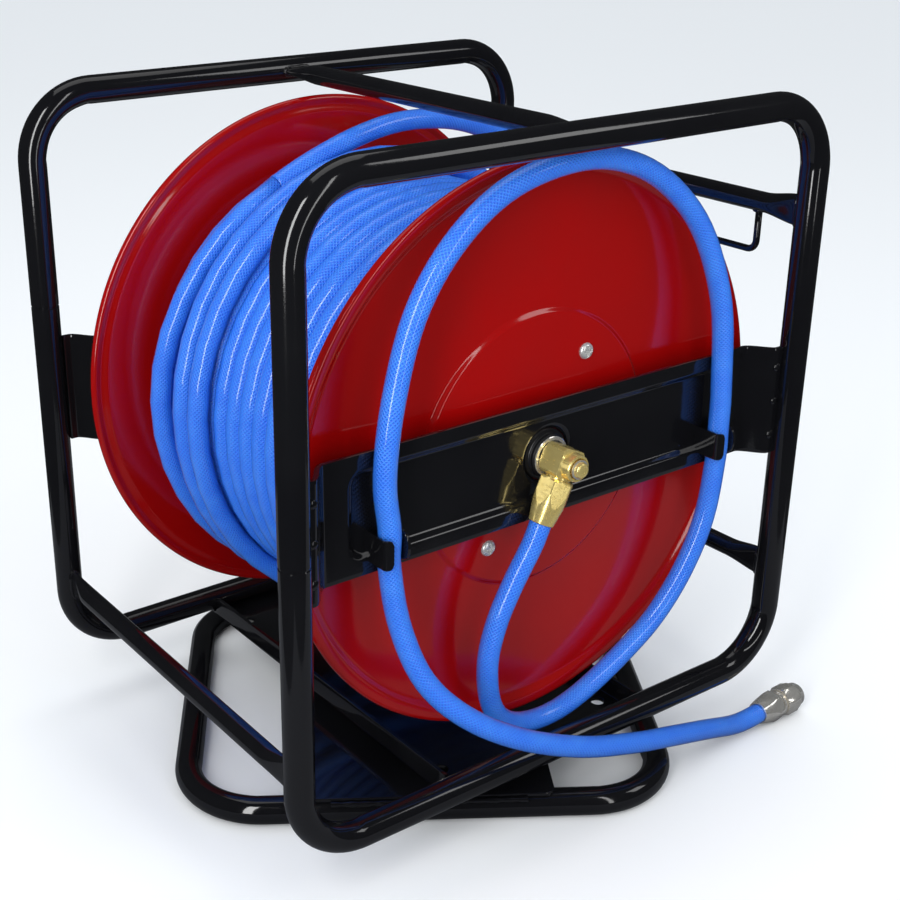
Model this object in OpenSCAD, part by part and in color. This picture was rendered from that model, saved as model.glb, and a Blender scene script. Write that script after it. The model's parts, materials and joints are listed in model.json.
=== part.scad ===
// Hand-wound air hose reel in a tube carry frame, on a swivelling floor loop.
// Millimetres, +Z up, floor at z = 0, swivel axis on the Z axis, drum axis along Y.
// The inlet side of the reel faces -Y, the crank side faces +Y.

/* [Carry frame] */
// Width of a frame loop between tube centres
loop_w = 344; // [338:1:350]
// Height of a frame loop between tube centres
loop_h = 344; // [340:1:350]
// Distance between the front and the back loop, between tube centres
loop_gap = 264; // [262:1:270]
// Height of the drum axis over the floor
axis_h = 213; // [212:1:216]
// Outer diameter of the loop tube
tube_d = 16; // [15:0.5:17]
// Bend radius of a loop corner, at the tube centre
loop_r = 38; // [34:1:44]
// Outer diameter of the thin cross tubes
cross_d = 11.5; // [10:0.5:12]
// Height of the right cross tube over the drum axis
cross_up_z = 110; // [100:1:116]
// Drop of the lower left cross tube under the drum axis
cross_left_z = 127; // [120:1:130]
// Drop of the lower right cross tube under the drum axis
cross_right_z = 110; // [100:1:120]

/* [Floor loop] */
// Length of the floor loop between tube centres
base_w = 278; // [270:1:284]
// Depth of the floor loop between tube centres
base_d = 238; // [232:1:242]
// Bend radius of a floor loop corner, at the tube centre
base_r = 45; // [40:1:50]
// Turn of the floor loop about the swivel axis at rest
base_turn = -33; // [-60:1:60]

/* [Drum] */
// Outer diameter of a flange
flange_d = 320; // [310:1:322]
// Distance between the inner faces of the two flanges
drum_w = 203; // [200:1:204]
// Outer diameter of the drum core
core_d = 186; // [180:1:186]

/* [Hose] */
// Outer diameter of the hose
hose_d = 12; // [11:0.5:12.5]
// Distance between two turns on the drum
turn_pitch = 13.4; // [13:0.1:13.6]
// Height of one layer of turns
layer_step = 11.1; // [10.6:0.1:11.1]

/* [Hidden] */

$fn = 64;
eps = 0.01;

half_w = loop_w / 2;
half_h = loop_h / 2;
half_gap = loop_gap / 2;
loop_top = axis_h + half_h;
loop_low = axis_h - half_h;

plate_t = 2.5;          // sheet thickness of the two plates and the brackets
floor_tube_z = tube_d / 2;
base_top = tube_d + plate_t;
bottom_z = loop_low - tube_d / 2 - plate_t;   // underside of the frame's bottom plate
bottom_w = 146;
lip_h = 14.5;
base_plate_w = 142;
base_plate_d = 250;

pivot_d = 12;
ring_d = 90;
slip_t = 2;
ring_t = (bottom_z - base_top - slip_t) / 2;

flange_t = 1.5;
bead_d = 5;
face_y = drum_w / 2;                  // inner face of a flange
disc_d = 156;                         // raised disc in the middle of a flange
disc_step = 2;
screw_pcd = 118;
screw_turn = 57;                      // angle of the first flange screw over +X
screw_d = 4;
screw_head_d = 9.2;

axle_d = 20;
bush_d = 29;
bracket_h = 65;
bracket_y = half_gap - 14;            // outer face of a bracket's border
pan_depth = 4;
pan_w = 264;
pan_h = 50;
pan_r = 10;
pan_back_y = bracket_y - pan_depth - plate_t;
axle_tip_y = -pan_back_y - 3;         // end of the axle on the inlet side

clip_left_x = -112;
clip_right_x = 122;
clip_z = axis_h - 18;
clip_h = 16;
hose_y = -(bracket_y + hose_d / 2 + 0.4);   // hose centre where it passes a clip

spindle_d = 13;
elbow_y = -126.5;
elbow_turn = 25;                      // lean of the elbow outlet from straight down
elbow_reach = 34;                     // from the drum axis to the hose end of the nut
plug_len = 22;
nut_len = 16;

outlet_y = 88;                        // place of the drum outlet along the axle

crank_turn = -20;                     // angle of the crank over +X
crank_r = 112;
crank_y = half_gap - 3;

first_layer_r = core_d / 2 + 0.2 + hose_d / 2;
wind_turns = 15;
wind_layers = 3;
top_layer_r = first_layer_r + (wind_layers - 1) * layer_step;
raised_r = top_layer_r + 11.4;
raised_y = [70.4, 43.6, 27];

// Leader hose, from the elbow nut once round through both clips to the floor.
leader_route = [[-14.4, -126.5, 182.2], [-20, -126.5, 170.2], [-31, -125.5, 151],
    [-40, -124, 130], [-44, -122, 106], [-41, -121, 81], [-31, -119.5, 64],
    [-14, -118.5, 54], [8, -118.5, 52], [31, -119, 58], [58, -120, 72],
    [84, -121.5, 91], [104, -123, 117], [117, -124.2, 148], [122, -124.4, 184],
    [122, -124.4, 204], [121, -124.4, 230], [116, -123, 279], [97, -121, 323],
    [66, -120, 353], [31, -119.5, 368], [-4, -119.5, 370], [-42, -120, 361],
    [-74, -121.5, 340], [-97, -123, 310], [-110, -124, 270], [-115, -124.4, 232],
    [-112, -124.4, 204], [-112, -124.4, 184], [-107, -127, 150], [-97, -135, 119],
    [-78, -146, 96], [-48, -155, 76], [-8, -160, 58], [34, -160, 44], [70, -157, 33],
    [104, -153, 22], [130, -149, 12.5], [144, -148, 10], [158, -147.5, 10]];

// Outlet of the wound hose, off the top of the winding, under the top cross tube
// and out through the guide on the right.
outlet_route = [[-58.6, 57, 334.2], [-42, 57, 342], [-22, 57.5, 349.5], [0, 58, 356],
    [24, 59, 360], [50, 60, 360], [78, 61, 355.5], [106, 61.5, 345], [131, 61, 330],
    [151, 60.5, 316.5], [172, 60, 306.5], [193, 60, 300.5]];

guide_x = half_w;
guide_rod = 4;
guide_drop = 29;                      // from the cross tube's centre to the guide rod's centre
guide_span = 194;

// ---------- small helpers ----------

function unit(v) = v / norm(v);

// Direction of a route at point i.
function along(p, i) = i == 0 ? unit(p[1] - p[0])
    : i == len(p) - 1 ? unit(p[i] - p[i - 1])
    : unit(p[i + 1] - p[i - 1]);

// Sideways directions across a route, kept steady by one fixed helper direction.
function across(t, side) = unit(cross(t, side));

// A tube swept along a route, one ring at each of the route's points.
module tube_along(route, d, side, sides = 12) {
    n = len(route);
    rings = [for (i = [0 : n - 1])
        let (t = along(route, i), u = across(t, side), v = cross(t, u))
        for (k = [0 : sides - 1])
            route[i] + d / 2 * (cos(k * 360 / sides) * u + sin(k * 360 / sides) * v)];
    walls = [for (i = [0 : n - 2]) for (k = [0 : sides - 1])
        [i * sides + k, i * sides + (k + 1) % sides,
         (i + 1) * sides + (k + 1) % sides, (i + 1) * sides + k]];
    start_cap = [[for (k = [sides - 1 : -1 : 0]) k]];
    end_cap = [[for (k = [0 : sides - 1]) (n - 1) * sides + k]];
    polyhedron(points = rings, faces = concat(start_cap, end_cap, walls), convexity = 10);
}

module rod_y(d, y0, y1) {
    translate([0, y0, 0])
        rotate([-90, 0, 0])
            cylinder(h = y1 - y0, d = d);
}

module hex_y(flat, y0, y1) {
    translate([0, y0, 0])
        rotate([-90, 0, 0])
            cylinder(h = y1 - y0, d = flat / cos(30), $fn = 6);
}

// A bent tube loop, flat in X and Y, its tube centre at z = 0.
module flat_loop(w, h, r, d) {
    for (s = [-1, 1]) {
        translate([s * w / 2, 0, 0])
            rotate([90, 0, 0])
                cylinder(h = h - 2 * r, d = d, center = true);
        translate([0, s * h / 2, 0])
            rotate([0, 90, 0])
                cylinder(h = w - 2 * r, d = d, center = true);
    }
    for (q = [0 : 3]) {
        sx = (q == 0 || q == 3) ? 1 : -1;
        sy = (q < 2) ? 1 : -1;
        translate([sx * (w / 2 - r), sy * (h / 2 - r), 0])
            rotate([0, 0, q * 90])
                rotate_extrude(angle = 90)
                    translate([r, 0])
                        circle(d = d);
    }
}

// A flat outline with round corners, made of plain squares and circles.
module round_rect(w, h, r) {
    square([w - 2 * r, h], center = true);
    square([w, h - 2 * r], center = true);
    for (sx = [-1, 1], sy = [-1, 1])
        translate([sx * (w / 2 - r), sy * (h / 2 - r)])
            circle(r = r);
}

// Repeats a child at the two flange screws, about the drum axis.
module at_screws() {
    for (a = [0, 180])
        rotate([0, -screw_turn - a, 0])
            translate([screw_pcd / 2, 0, 0])
                children();
}

// Puts an outline drawn in X and Z at height y0, thickened toward +Y.
module stand(y0, t) {
    translate([0, y0 + t, axis_h])
        rotate([90, 0, 0])
            linear_extrude(height = t)
                children();
}

module in_base() {
    rotate([0, 0, base_turn])
        children();
}

// ---------- floor loop and swivel ----------

module base_loop() {
    color("#141416")
        in_base()
            translate([0, 0, floor_tube_z])
                flat_loop(base_w, base_d, base_r, tube_d);
}

module base_plate() {
    color("#17171a")
        in_base()
            translate([0, 0, tube_d])
                difference() {
                    linear_extrude(height = plate_t)
                        round_rect(base_plate_w, base_plate_d, 6);
                    translate([0, 0, -1])
                        cylinder(h = plate_t + 2, d = pivot_d + 0.1);
                }
}

module pivot_bolt() {
    head_h = 7.5;
    color("#b9bcc0")
        in_base() {
            translate([0, 0, tube_d - head_h])
                cylinder(h = head_h, d = 19 / cos(30), $fn = 6);
            translate([0, 0, tube_d])
                cylinder(h = 33, d = pivot_d);
        }
}

module pivot_washer() {
    color("#c6c9cc")
        in_base()
            translate([0, 0, bottom_z + plate_t + 0.05])
                difference() {
                    cylinder(h = 2.5, d = 37);
                    translate([0, 0, -1])
                        cylinder(h = 5, d = pivot_d);
                }
}

module pivot_nut() {
    color("#c6c9cc")
        in_base()
            translate([0, 0, bottom_z + plate_t + 2.55])
                difference() {
                    union() {
                        cylinder(h = 9, d = 19 / cos(30), $fn = 6);
                        translate([0, 0, 9])
                            cylinder(h = 3, d = 17);
                    }
                    translate([0, 0, -1])
                        cylinder(h = 14, d = pivot_d);
                }
}

module swivel_lower_ring() {
    color("#2a2b2e")
        in_base()
            translate([0, 0, base_top])
                difference() {
                    cylinder(h = ring_t, d = ring_d);
                    translate([0, 0, -1])
                        cylinder(h = ring_t + 2, d = pivot_d + 0.1);
                }
}

module swivel_slip_ring() {
    color("#d8d8d2")
        in_base()
            translate([0, 0, base_top + ring_t])
                difference() {
                    cylinder(h = slip_t - 0.05, d = ring_d - 4);
                    translate([0, 0, -1])
                        cylinder(h = slip_t + 2, d = pivot_d + 0.4);
                }
}

module swivel_upper_ring() {
    color("#2a2b2e")
        translate([0, 0, bottom_z - ring_t])
            difference() {
                cylinder(h = ring_t, d = ring_d);
                translate([0, 0, -1])
                    cylinder(h = ring_t + 2, d = pivot_d + 0.1);
            }
}

// ---------- carry frame ----------

module bottom_plate() {
    lip_len = loop_gap - tube_d - 2;
    hole_y = 104;
    color("#17171a")
        difference() {
            union() {
                translate([-bottom_w / 2, -half_gap, bottom_z])
                    cube([bottom_w, loop_gap, plate_t]);
                for (s = [-1, 1])
                    translate([s * (bottom_w / 2 - plate_t / 2), 0, bottom_z + lip_h / 2])
                        cube([plate_t, lip_len, lip_h], center = true);
            }
            translate([0, 0, bottom_z - 1])
                cylinder(h = plate_t + 2, d = pivot_d + 0.1);
            for (sx = [-1, 1], sy = [-1, 1])
                translate([sx * 60, sy * hole_y, bottom_z - 1])
                    cylinder(h = plate_t + 2, d = 8);
        }
}

module frame_loop(y0) {
    translate([0, y0, axis_h])
        rotate([90, 0, 0])
            flat_loop(loop_w, loop_h, loop_r, tube_d);
}

module front_loop() {
    color("#101012") frame_loop(-half_gap);
}

module back_loop() {
    color("#101012") frame_loop(half_gap);
}

// A cross tube along Y between the loops, with crimped ends that are wide along Z.
module crimped_tube() {
    reach = half_gap - tube_d / 2;
    taper = 16;
    flat_w = 18;
    flat_t = 4;
    rod_y(cross_d, -(reach - taper), reach - taper);
    for (s = [-1, 1])
        hull() {
            translate([0, s * (reach - taper), 0])
                rotate([90, 0, 0])
                    cylinder(h = 0.5, d = cross_d, center = true, $fn = 32);
            translate([0, s * (reach - 2), 0])
                cube([flat_t, 4, flat_w], center = true);
        }
}

module cross_top() {
    color("#101012")
        translate([0, 0, loop_top])
            rotate([0, 90, 0])
                crimped_tube();
}

module cross_upper_right() {
    color("#101012")
        translate([half_w, 0, axis_h + cross_up_z])
            crimped_tube();
}

module cross_lower_left() {
    color("#101012")
        translate([-half_w, 0, axis_h - cross_left_z])
            crimped_tube();
}

module cross_lower_right() {
    color("#101012")
        translate([half_w, 0, axis_h - cross_right_z])
            crimped_tube();
}

// Wire guide under the upper right cross tube: two legs and a long bottom rod.
module hose_guide() {
    bend = 6;
    top_z = axis_h + cross_up_z - cross_d / 2;
    rod_z = axis_h + cross_up_z - guide_drop;
    color("#141416") {
        translate([guide_x, 0, rod_z])
            rod_y(guide_rod, -guide_span / 2 + bend, guide_span / 2 - bend);
        for (s = [-1, 1]) {
            translate([guide_x, s * guide_span / 2, rod_z + bend])
                cylinder(h = top_z - rod_z - bend, d = guide_rod);
            translate([guide_x, s * (guide_span / 2 - bend), rod_z + bend])
                rotate([0, 90, 0])
                    rotate([0, 0, s > 0 ? 0 : -90])
                        rotate_extrude(angle = 90)
                            translate([bend, 0])
                                circle(d = guide_rod, $fn = 32);
        }
    }
}

// A pressed bracket across a loop, drawn for the front side.
module bracket(hub_d) {
    half_flat = 146;
    end_x = half_w - tube_d / 2;
    end_y = half_gap - 1;
    inner_y = -(bracket_y - plate_t);
    difference() {
        union() {
            stand(-bracket_y, plate_t)
                difference() {
                    square([2 * half_flat, bracket_h], center = true);
                    round_rect(pan_w, pan_h, pan_r);
                }
            stand(-bracket_y, plate_t + pan_depth)
                difference() {
                    round_rect(pan_w + 0.02, pan_h + 0.02, pan_r);
                    round_rect(pan_w - 2 * plate_t, pan_h - 2 * plate_t, pan_r - plate_t);
                }
            stand(-pan_back_y - plate_t, plate_t)
                round_rect(pan_w, pan_h, pan_r);
            for (s = [-1, 1])
                translate([0, 0, axis_h - bracket_h / 2])
                    linear_extrude(height = bracket_h)
                        polygon([[s * half_flat, -bracket_y], [s * (end_x - 3), -end_y],
                            [s * end_x, -end_y], [s * end_x, -end_y + plate_t],
                            [s * (end_x - 2), -end_y + plate_t], [s * half_flat, inner_y]]);
        }
        translate([0, 0, axis_h])
            rod_y(hub_d, -bracket_y - 5, -pan_back_y + 5);
    }
}

// One hose clip: a hook over the hose's left side and a straight tab on its right.
module hose_clip(x0) {
    t = 1.8;
    gap = 0.5;
    side = hose_d / 2 + gap;
    front = hose_y - side;
    root = -pan_back_y - plate_t / 2;
    translate([x0, 0, clip_z - clip_h / 2])
        linear_extrude(height = clip_h) {
            polygon([[-side - t, root], [-side - t, front - t], [-3, front - t],
                [-3, front], [-side, front], [-side, root]]);
            translate([side, front])
                square([t, root - front]);
        }
}

module front_bracket() {
    color("#101012") {
        bracket(bush_d);
        hose_clip(clip_left_x);
        hose_clip(clip_right_x);
    }
}

module back_bracket() {
    color("#101012")
        mirror([0, 1, 0])
            bracket(bush_d);
}

// Nylon bush in a bracket, drawn for the front side.
module bush() {
    difference() {
        union() {
            rod_y(bush_d, -pan_back_y - plate_t - 1, -pan_back_y + 1);
            rod_y(bush_d + 8, -pan_back_y, -pan_back_y + 2);
        }
        rod_y(axle_d + 0.1, -bracket_y - 10, -pan_back_y + 10);
    }
}

module front_bush() {
    color("#1c1c1c")
        translate([0, 0, axis_h])
            bush();
}

module back_bush() {
    color("#1c1c1c")
        translate([0, 0, axis_h])
            mirror([0, 1, 0])
                bush();
}

// ---------- drum ----------

module axle() {
    bore_d = 10;
    color("#b4b7bb")
        translate([0, 0, axis_h])
            difference() {
                union() {
                    rod_y(axle_d, axle_tip_y, crank_y - 3);
                    rod_y(12, crank_y - 3 - eps, crank_y + 12);
                }
                rod_y(bore_d, -bracket_y - 10, outlet_y + bore_d / 2);
            }
}

module core() {
    end_y = face_y - 0.1;
    wall = 1.5;
    color("#7d0d10")
        translate([0, 0, axis_h])
            difference() {
                rod_y(core_d, -end_y, end_y);
                rod_y(core_d - 2 * wall, -end_y + wall, end_y - wall);
                rod_y(axle_d, -end_y - 1, end_y + 1);
                at_screws()
                    rod_y(screw_d, -end_y - 1, end_y + 1);
                translate([0, outlet_y, core_d / 2 - 5])
                    cylinder(h = 10, d = 12);
            }
}

// A pressed flange with a raised disc and a rolled rim, drawn for the front side.
module flange() {
    rim = flange_d / 2 - bead_d / 2;
    step = disc_d / 2;
    difference() {
        rotate([90, 0, 0])
            rotate_extrude($fn = 128) {
                polygon([[0, face_y + disc_step], [step - 2, face_y + disc_step], [step, face_y],
                    [rim - 7, face_y], [rim - 3, face_y + bead_d - flange_t],
                    [rim, face_y + bead_d - flange_t], [rim, face_y + bead_d],
                    [rim - 4, face_y + bead_d], [rim - 8, face_y + flange_t],
                    [step + 0.8, face_y + flange_t], [step - 1.2, face_y + disc_step + flange_t],
                    [0, face_y + disc_step + flange_t]]);
                translate([rim, face_y + bead_d / 2])
                    circle(d = bead_d, $fn = 24);
            }
        rod_y(axle_d, -face_y - 10, -face_y + 5);
        at_screws()
            rod_y(screw_d, -face_y - 10, -face_y + 5);
    }
}

module front_flange() {
    color("#a80f12")
        translate([0, 0, axis_h])
            flange();
}

module back_flange() {
    color("#a80f12")
        translate([0, 0, axis_h])
            mirror([0, 1, 0])
                flange();
}

// Two pan-head screws through a flange into the core, drawn for the front side.
module flange_screws() {
    head_y = face_y + disc_step + flange_t;
    head_h = 2.4;
    cross_w = 1.1;
    cross_len = 5;
    translate([0, 0, axis_h])
        at_screws() {
            rod_y(screw_d, -head_y, -face_y + 8);
            difference() {
                rod_y(screw_head_d, -head_y - head_h, -head_y);
                for (b = [0, 90])
                    rotate([0, b, 0])
                        translate([0, -head_y - head_h, 0])
                            cube([cross_len, head_h, cross_w], center = true);
            }
        }
}

module front_screws() {
    color("#c8cacd") flange_screws();
}

module back_screws() {
    color("#c8cacd")
        translate([0, 0, axis_h])
            mirror([0, 1, 0])
                translate([0, 0, -axis_h])
                    flange_screws();
}

// Brass nipple from the axle out to the start of the winding, inside the core.
module drum_outlet() {
    color("#b8903a")
        translate([0, outlet_y, axis_h])
            difference() {
                union() {
                    translate([0, 0, axle_d / 2 - 0.2])
                        cylinder(h = core_d / 2 - axle_d / 2, d = 11.6);
                    translate([0, 0, axle_d / 2 + 1.5])
                        cylinder(h = 12, d = 17 / cos(30), $fn = 6);
                }
                rod_y(axle_d, -20, 20);
                cylinder(h = core_d, d = 6);
            }
}

// ---------- air inlet ----------

module inlet_spindle() {
    tip_y = -141.5;
    color("#c29a45")
        translate([0, 0, axis_h])
            difference() {
                union() {
                    rod_y(spindle_d, tip_y + 5.5, axle_tip_y);
                    rod_y(9, tip_y, tip_y + 5.5 + eps);
                    rod_y(10, axle_tip_y - 1, -pan_back_y + 14);
                }
                rod_y(6, tip_y + 8, -pan_back_y + 20);
                difference() {
                    rod_y(12, tip_y + 2.2, tip_y + 3.4);
                    rod_y(7, tip_y + 2, tip_y + 3.6);
                }
            }
}

// Snap ring in the spindle's groove, which keeps the elbow on.
module spindle_ring() {
    ring_y = -139.25;
    color("#8d9094")
        translate([0, 0, axis_h])
            difference() {
                rod_y(14.5, ring_y, ring_y + 1.1);
                rod_y(7, ring_y - 1, ring_y + 2);
                translate([-2, ring_y - 1, -10])
                    cube([4, 3, 10]);
            }
}

module elbow_body() {
    block_w = 16.5;
    corner_d = 20.6;
    block_y0 = elbow_y - 9.5;
    block_y1 = elbow_y + 9.5;
    color("#c29a45")
        translate([0, 0, axis_h])
            difference() {
                union() {
                    intersection() {
                        rotate([0, elbow_turn, 0])
                            translate([0, elbow_y, 0])
                                cube([block_w, block_y1 - block_y0, block_w], center = true);
                        rod_y(corner_d, block_y0, block_y1);
                    }
                    rod_y(17.8, block_y1 - 4, block_y1);
                    rod_y(17.8, block_y0 - 2, block_y0 + 1);
                    rotate([0, elbow_turn, 0])
                        translate([0, elbow_y, -15])
                            cylinder(h = 15, d = 13);
                }
                rod_y(spindle_d + 0.1, block_y0 - 3, block_y1 + 1);
                rotate([0, elbow_turn, 0])
                    translate([0, elbow_y, -40])
                        cylinder(h = 40, d = 6);
            }
}

// Hose nut with six flats that run out in a cone toward the hose.
module compression_nut(len, flat, end_d, bore) {
    difference() {
        intersection() {
            cylinder(h = len, d = flat / cos(30), $fn = 6);
            union() {
                cylinder(h = len * 0.45, d = flat / cos(30) - 0.6);
                translate([0, 0, len * 0.45 - eps])
                    cylinder(h = len * 0.55 + eps, d1 = flat / cos(30) - 0.6, d2 = end_d);
            }
        }
        translate([0, 0, -1])
            cylinder(h = len + 2, d = bore);
    }
}

module elbow_nut() {
    len = 25;
    color("#c8a04a")
        translate([0, elbow_y, axis_h])
            rotate([0, elbow_turn, 0])
                translate([0, 0, -(elbow_reach - len)])
                    mirror([0, 0, 1])
                        difference() {
                            compression_nut(len, 17, 13.4, 8);
                            translate([0, 0, -1])
                                cylinder(h = 7, d = 13);
                        }
}

// ---------- crank ----------

module crank_arm() {
    t = 5;
    w = 20;
    color("#131315")
        translate([0, crank_y, axis_h])
            rotate([0, -crank_turn, 0])
                difference() {
                    union() {
                        translate([crank_r / 2, t / 2 - 3, 0])
                            cube([crank_r, t, w], center = true);
                        for (x = [0, crank_r])
                            translate([x, 0, 0])
                                rod_y(w, -3, t - 3);
                    }
                    rod_y(12, -10, 10);
                    translate([crank_r, 0, 0])
                        rod_y(8, -10, 10);
                }
}

module crank_nut() {
    color("#c6c9cc")
        translate([0, 0, axis_h])
            difference() {
                union() {
                    rod_y(24, crank_y + 2, crank_y + 4);
                    hex_y(19, crank_y + 4, crank_y + 11);
                }
                rod_y(12, crank_y, crank_y + 20);
            }
}

module crank_pin() {
    color("#b9bcc0")
        translate([0, crank_y, axis_h])
            rotate([0, -crank_turn, 0])
                translate([crank_r, 0, 0]) {
                    rod_y(8, -3, 36);
                    rod_y(14, -6, -3);
                    rod_y(12, 34, 36);
                }
}

module crank_grip() {
    knob_r = 17;
    neck_r = 12;
    neck_len = 6;
    knob_len = 31;
    edge_r = 6;
    color("#1a1a1b")
        translate([0, crank_y, axis_h])
            rotate([0, -crank_turn, 0])
                translate([crank_r, 2.5, 0])
                    rotate([-90, 0, 0])
                        rotate_extrude()
                            difference() {
                                union() {
                                    square([neck_r, knob_len]);
                                    translate([0, neck_len + edge_r])
                                        square([knob_r, knob_len - neck_len - 2 * edge_r]);
                                    for (y = [neck_len + edge_r, knob_len - edge_r])
                                        translate([knob_r - edge_r, y])
                                            circle(r = edge_r);
                                }
                                translate([0, -1])
                                    square([4.05, knob_len + 2]);
                            }
}

// ---------- hoses ----------

// The winding: full layers of turns and, on top, three looser turns by the back flange.
module wound_hose() {
    inner = core_d / 2 + 0.2;
    start_y = -(wind_turns - 1) / 2 * turn_pitch;
    color("#2f6fe8")
        translate([0, 0, axis_h])
            rotate([90, 0, 0])
                rotate_extrude($fn = 96) {
                    translate([inner, start_y])
                        square([top_layer_r - inner, -2 * start_y]);
                    for (i = [0 : wind_turns - 1])
                        translate([top_layer_r, start_y + i * turn_pitch])
                            circle(d = hose_d, $fn = 24);
                    for (y0 = raised_y)
                        translate([raised_r, -y0])
                            circle(d = hose_d, $fn = 24);
                }
}

// The turn that crosses the top layer from the front flange to the first raised turn.
module crossing_turn() {
    from_y = -(wind_turns - 1) / 2 * turn_pitch;
    to_y = raised_y[2];
    rings = 15;
    first_a = 60;
    sweep = 210;
    crossing_r = raised_r + 0.9;
    route = [for (i = [0 : rings])
        let (t = i / rings, a = first_a - sweep * t)
            [crossing_r * cos(a), from_y + (to_y - from_y) * t * t * (3 - 2 * t),
             axis_h + crossing_r * sin(a)]];
    color("#2f6fe8")
        tube_along(route, hose_d, [0, 1, 0]);
}

module leader_hose() {
    color("#2f6fe8")
        tube_along(leader_route, hose_d, [0.35, 1, 0.1]);
}

module outlet_hose() {
    color("#2f6fe8")
        tube_along(outlet_route, hose_d, [0, 1, 0]);
}

// Places a child that points along +Z on a route's end.
module at_end(route) {
    t = along(route, len(route) - 1);
    translate(route[len(route) - 1])
        rotate([0, acos(t[2]), atan2(t[1], t[0])])
            children();
}

module end_plug(len) {
    difference() {
        union() {
            cylinder(h = 4, d = 12);
            translate([0, 0, 4])
                cylinder(h = len - 9, d = 17 / cos(30), $fn = 6);
            translate([0, 0, len - 5])
                cylinder(h = 5, d1 = 17, d2 = 13.5);
        }
        translate([0, 0, 6])
            cylinder(h = len, d = 9);
    }
}

module leader_nut() {
    color("#c9c9c6")
        at_end(leader_route)
            translate([0, 0, nut_len])
                mirror([0, 0, 1])
                    compression_nut(nut_len, 17, 13.4, 8);
}

module leader_plug() {
    color("#c9c9c6")
        at_end(leader_route)
            translate([0, 0, nut_len])
                end_plug(plug_len);
}

module outlet_nut() {
    color("#c9c9c6")
        at_end(outlet_route)
            translate([0, 0, nut_len])
                mirror([0, 0, 1])
                    compression_nut(nut_len, 17, 13.4, 8);
}

module outlet_plug() {
    color("#c9c9c6")
        at_end(outlet_route)
            translate([0, 0, nut_len])
                end_plug(plug_len);
}

base_loop();
base_plate();
pivot_bolt();
pivot_nut();
pivot_washer();
swivel_lower_ring();
swivel_slip_ring();
swivel_upper_ring();
bottom_plate();
front_loop();
back_loop();
cross_top();
cross_upper_right();
cross_lower_left();
cross_lower_right();
hose_guide();
front_bracket();
back_bracket();
front_bush();
back_bush();
axle();
core();
front_flange();
back_flange();
front_screws();
back_screws();
inlet_spindle();
spindle_ring();
elbow_body();
elbow_nut();
drum_outlet();
crank_arm();
crank_nut();
crank_pin();
crank_grip();
wound_hose();
crossing_turn();
leader_hose();
leader_nut();
leader_plug();
outlet_hose();
outlet_nut();
outlet_plug();
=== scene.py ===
import json
import math

import bmesh
import bpy
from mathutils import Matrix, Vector


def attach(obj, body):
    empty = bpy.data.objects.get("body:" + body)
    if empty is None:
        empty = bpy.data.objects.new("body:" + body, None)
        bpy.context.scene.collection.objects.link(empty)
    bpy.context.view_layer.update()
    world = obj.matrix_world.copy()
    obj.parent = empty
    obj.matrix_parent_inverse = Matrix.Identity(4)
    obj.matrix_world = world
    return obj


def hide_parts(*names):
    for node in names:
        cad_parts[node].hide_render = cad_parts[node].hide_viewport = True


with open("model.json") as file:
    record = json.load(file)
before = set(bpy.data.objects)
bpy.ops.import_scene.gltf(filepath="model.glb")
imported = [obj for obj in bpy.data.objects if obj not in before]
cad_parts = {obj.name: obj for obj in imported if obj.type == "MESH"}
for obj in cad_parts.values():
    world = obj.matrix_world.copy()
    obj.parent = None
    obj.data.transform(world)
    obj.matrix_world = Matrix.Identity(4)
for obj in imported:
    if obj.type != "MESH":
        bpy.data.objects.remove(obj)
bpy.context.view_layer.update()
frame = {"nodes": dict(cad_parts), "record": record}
nodes = frame["nodes"]
scene = bpy.context.scene

# ---------- sizes in mm, in the CAD frame ----------

MM = 0.001                  # one millimetre in Blender's metres
AXIS_Z = 213                # height of the drum axis over the floor
LOOP_HALF = 172             # half the width and height of a frame loop, between tube centres
LOOP_Y = 132                # distance of each frame loop from the middle
TUBE_R = 8
BORDER_Y = 118              # outer face of a bracket's border
HUB_HOLE_R = 14.6           # hole for the drum's bush in each bracket
HOSE_R = 6
BASE_TURN = -33             # turn of the floor loop about the swivel axis, in degrees
BOTTOM_Z = 30.5             # underside of the frame's bottom plate
ELBOW_Y = -126.5
ELBOW_LEAN = 25             # lean of the elbow's outlet from straight down
CRANK_Y = 129
CRANK_TURN = -20
CRANK_R = 112

UP = Vector((0, 0, 1))
SIDEWAYS = Vector((1, 0, 0))

# ---------- mesh helpers ----------


def add_object(name, data):
    piece = bpy.data.objects.new(name, data)
    scene.collection.objects.link(piece)
    return piece


def mesh_piece(name, verts, faces, crisp=32):
    """A closed mesh from points in mm: smooth, but crisp where it turns by over crisp degrees."""
    mesh = bpy.data.meshes.new(name)
    mesh.from_pydata([tuple(v * MM for v in p) for p in verts], [], faces)
    work = bmesh.new()
    work.from_mesh(mesh)
    bmesh.ops.recalc_face_normals(work, faces=work.faces)
    mark_crisp(work, crisp)
    work.to_mesh(mesh)
    work.free()
    return add_object(name, mesh)


def mark_crisp(work, degrees):
    for edge in work.edges:
        edge.smooth = not (edge.is_manifold and edge.calc_face_angle(0) > math.radians(degrees))
    for face in work.faces:
        face.smooth = True


def ease(t):
    """Rises smoothly from 0 to 1 while t does."""
    t = min(max(t, 0.0), 1.0)
    return t * t * (3 - 2 * t)


def on_circle(degrees, radius=1.0):
    return radius * math.cos(math.radians(degrees)), radius * math.sin(math.radians(degrees))


def steps_of(*spans):
    """Values along a line from (start, end, step) spans that follow on one another."""
    values = []
    for start, end, step in spans:
        count = max(1, round((end - start) / step))
        values += [start + (end - start) * k / count for k in range(count)]
    return values + [spans[-1][1]]


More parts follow.
